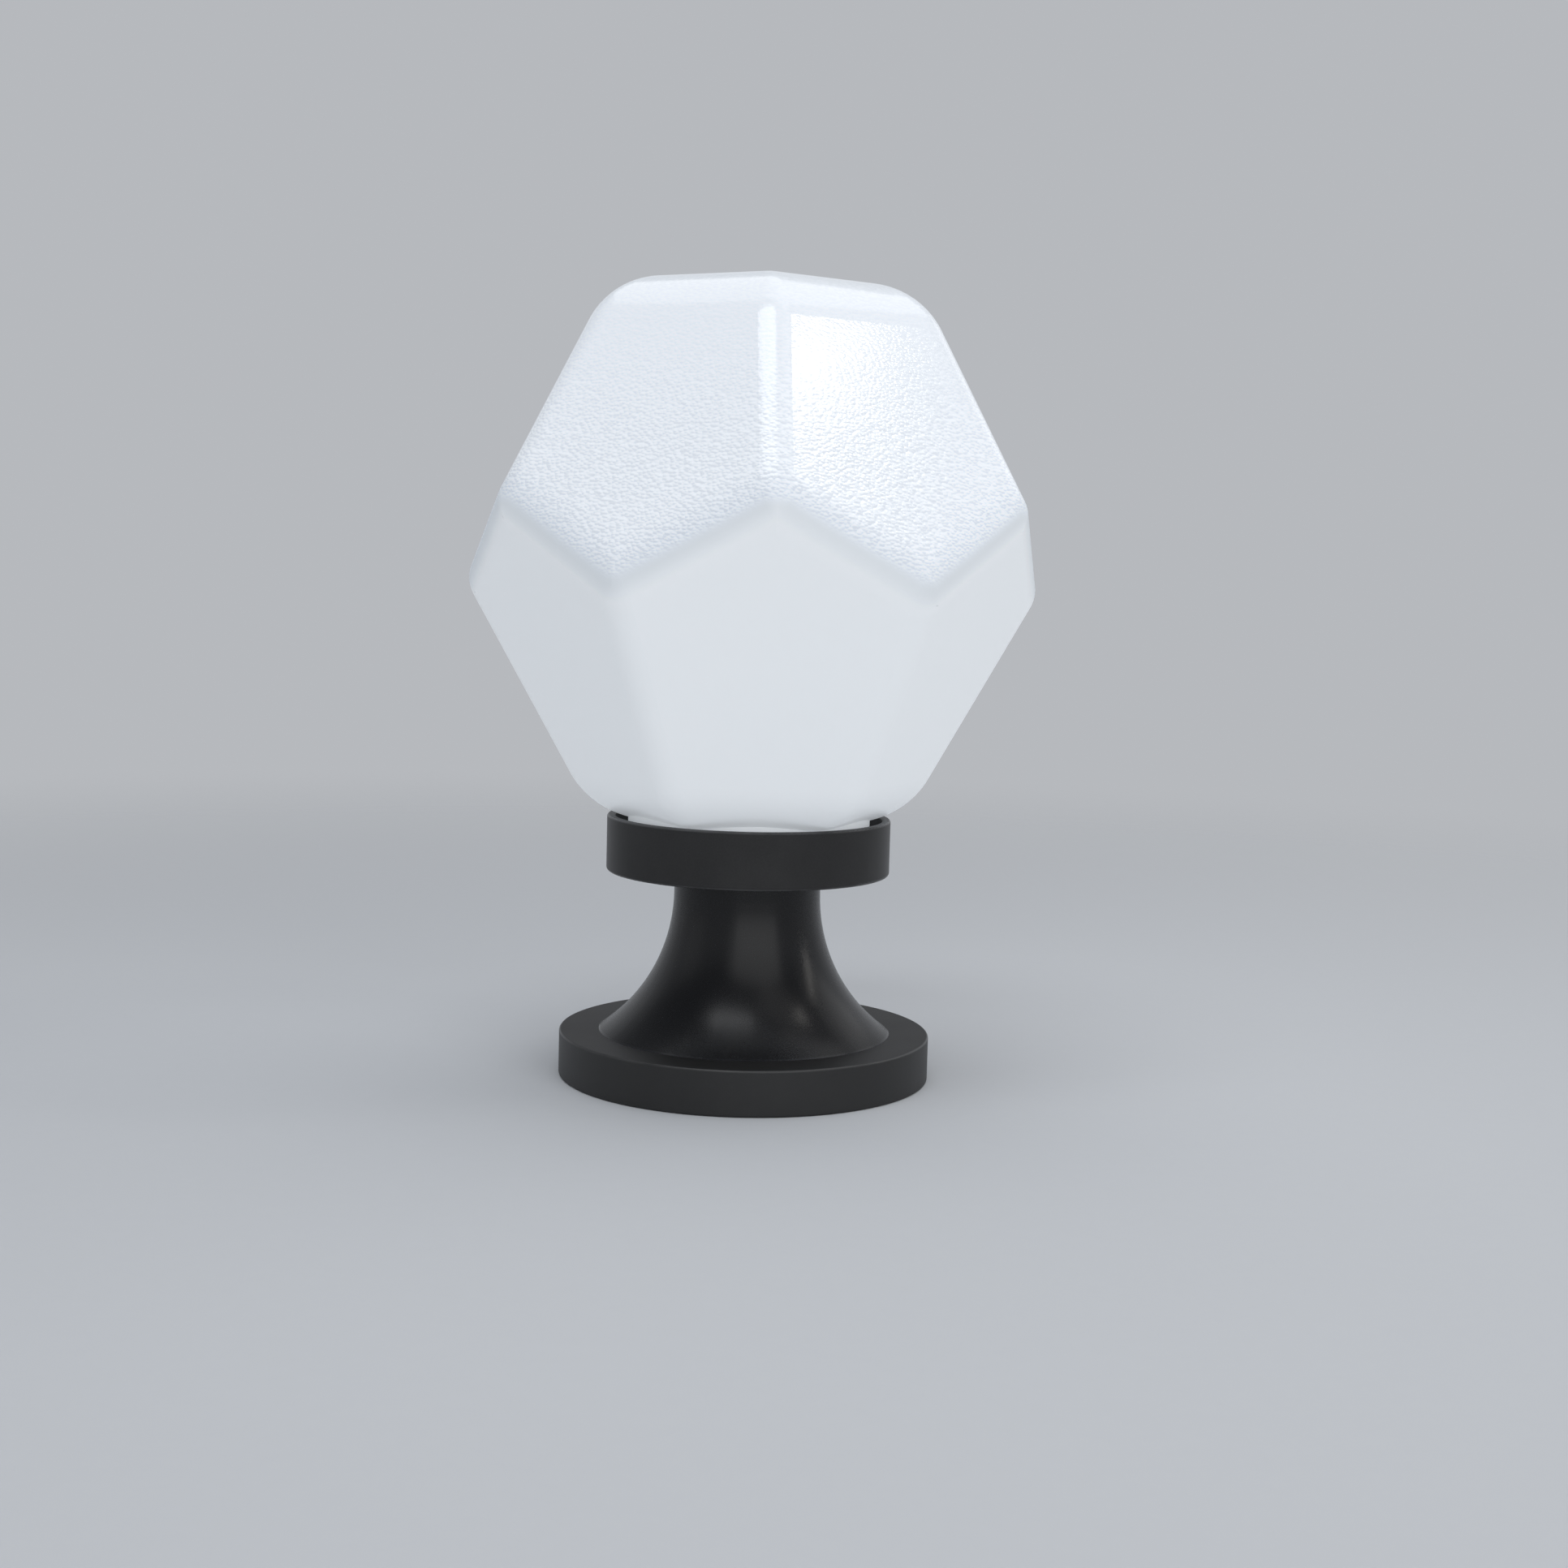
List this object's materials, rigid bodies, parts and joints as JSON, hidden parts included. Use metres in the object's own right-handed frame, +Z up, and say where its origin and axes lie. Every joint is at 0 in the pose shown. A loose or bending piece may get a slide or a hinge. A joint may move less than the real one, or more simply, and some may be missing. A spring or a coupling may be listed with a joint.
{
  "type": "gate light",
  "caption": "Pillar-top gate light: faceted opal globe, twist-locked into a black collar on a trumpet stem and round foot, over a screw-in lamp.",
  "frame": {"origin": "centre of the foot's underside, on the surface that the light stands on", "axes": "+Z up along the globe's axis, -Y to the front, where one lower face of the globe looks forward"},
  "size_m": [0.2014, 0.2014, 0.2804],
  "materials": {
    "black_plastic": "satin moulded black plastic",
    "opal_plastic": "opal white, fine pebbled gloss, lit from inside",
    "black_rubber": "matt black rubber",
    "zinc_steel": "zinc-plated steel",
    "grey_nylon": "moulded grey nylon",
    "white_ceramic": "white glazed porcelain",
    "brass": "plain brass",
    "spring_bronze": "spring bronze",
    "ivory_nylon": "moulded ivory nylon",
    "brown_insulation": "brown lead insulation",
    "blue_insulation": "blue lead insulation",
    "solder_tin": "tinned contact",
    "black_glass": "black vitrite glass",
    "nickel_plate": "nickel-plated brass",
    "white_plastic": "white moulded plastic",
    "board_aluminium": "white-masked aluminium board",
    "yellow_phosphor": "phosphor-coated diodes",
    "circuit_board": "green circuit board",
    "frosted_plastic": "frosted white diffuser"
  },
  "bodies": {
    "base": {"foot": "black_plastic", "stem": "black_plastic", "collar": "black_plastic", "base_gasket": "black_rubber", "mounting_plate": "zinc_steel", "plate_nuts": "zinc_steel", "threaded_rod": "zinc_steel", "cable_bush": "grey_nylon", "clamp_washer": "zinc_steel", "clamp_nut": "zinc_steel", "lampholder_bracket": "zinc_steel", "bracket_screws": "zinc_steel", "lampholder_body": "white_ceramic", "lampholder_screws": "zinc_steel", "lampholder_shell": "brass", "centre_contact": "spring_bronze", "terminal_block": "ivory_nylon", "terminal_tubes": "brass", "terminal_screws": "brass", "live_lead": "brown_insulation", "neutral_lead": "blue_insulation"},
    "globe_ring": {"globe_seal": "black_rubber"},
    "globe_shell": {"globe": "opal_plastic"},
    "lamp_tip": {"lamp_contact": "solder_tin", "lamp_insulator": "black_glass"},
    "lamp_bulb": {"lamp_cap": "nickel_plate", "lamp_housing": "white_plastic", "lamp_board": "board_aluminium", "lamp_leds": "yellow_phosphor", "lamp_driver": "circuit_board", "lamp_dome": "frosted_plastic"}
  },
  "joints": [
    {"name": "globe_lift", "type": "slide", "parent": "base", "child": "globe_ring", "axis": [0, 0, 1], "range_m": [0, 0.165]},
    {"name": "globe_twist", "type": "hinge", "parent": "globe_ring", "child": "globe_shell", "pos_m": [0, 0, 0.0768], "axis": [0, 0, 1], "range_deg": [-30, 0]},
    {"name": "lamp_rise", "type": "slide", "parent": "base", "child": "lamp_tip", "axis": [0, 0, 1], "range_m": [0, 0.01815]},
    {"name": "lamp_turn", "type": "hinge", "parent": "lamp_tip", "child": "lamp_bulb", "pos_m": [0, 0, 0.11], "axis": [0, 0, 1], "range_deg": [0, 1800]}
  ],
  "couplings": [
    {"joint": "lamp_rise", "follows": "lamp_turn", "m_per_rad": 0.00057757}
  ]
}
